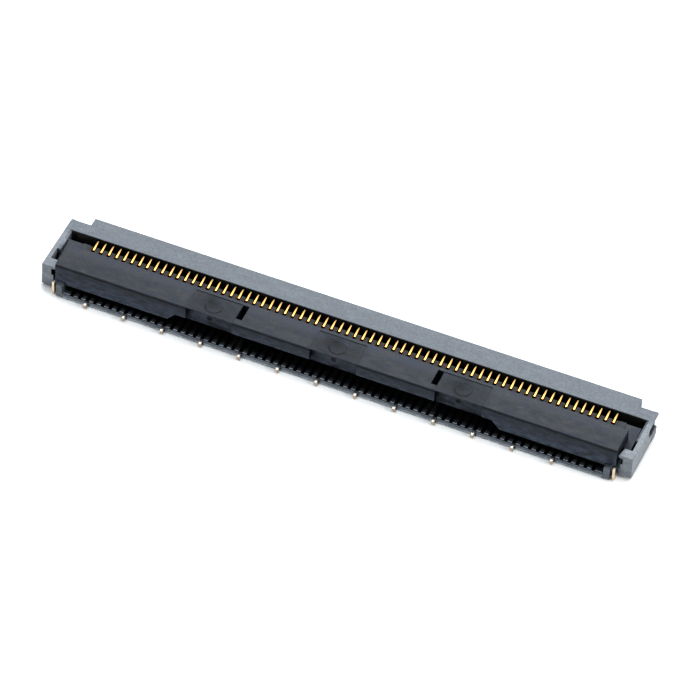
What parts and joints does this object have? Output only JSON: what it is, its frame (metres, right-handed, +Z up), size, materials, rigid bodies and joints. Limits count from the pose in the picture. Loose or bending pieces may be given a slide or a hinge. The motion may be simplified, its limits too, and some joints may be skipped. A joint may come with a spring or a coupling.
{
  "type": "flat flexible cable connector",
  "caption": "Right-angle surface-mount connector for a flat flexible cable, with hooked contacts and a dark actuator that flips up to free the cable.",
  "frame": {"origin": "middle of the connector's outline in plan, on the board's surface", "axes": "+X along the row of contacts, -Y out of the cable entry, +Z up from the board"},
  "size_m": [0.038, 0.006, 0.0023],
  "materials": {
    "housing_plastic": "moulded liquid crystal polymer, matt grey",
    "actuator_plastic": "moulded glass-filled polymer, matt charcoal",
    "gold_plate": "gold over nickel on stamped phosphor bronze",
    "tin_plate": "tin over copper alloy, stamped edges bare"
  },
  "bodies": {
    "base": {"housing": "housing_plastic", "fitting_left": "tin_plate", "fitting_right": "tin_plate", "signal_contacts_01": "gold_plate", "signal_contacts_02": "gold_plate", "signal_contacts_03": "gold_plate", "signal_contacts_04": "gold_plate", "signal_contacts_05": "gold_plate", "signal_contacts_06": "gold_plate", "signal_contacts_07": "gold_plate", "signal_contacts_08": "gold_plate", "signal_contacts_09": "gold_plate", "signal_contacts_10": "gold_plate", "signal_contacts_11": "gold_plate", "signal_contacts_12": "gold_plate", "signal_contacts_13": "gold_plate", "signal_contacts_14": "gold_plate", "signal_contacts_15": "gold_plate", "signal_contacts_16": "gold_plate", "signal_contacts_17": "gold_plate", "ground_contact_01": "tin_plate", "ground_contact_02": "tin_plate", "ground_contact_03": "tin_plate", "ground_contact_04": "tin_plate", "ground_contact_05": "tin_plate", "ground_contact_06": "tin_plate", "ground_contact_07": "tin_plate", "ground_contact_08": "tin_plate", "ground_contact_09": "tin_plate", "ground_contact_10": "tin_plate", "ground_contact_11": "tin_plate", "ground_contact_12": "tin_plate", "ground_contact_13": "tin_plate"},
    "actuator": {"actuator": "actuator_plastic"}
  },
  "joints": [
    {"name": "actuator_hinge", "type": "hinge", "parent": "base", "child": "actuator", "pos_m": [0, 0.00035, 0.001], "axis": [-1, 0, 0], "range_deg": [0, 90]}
  ]
}
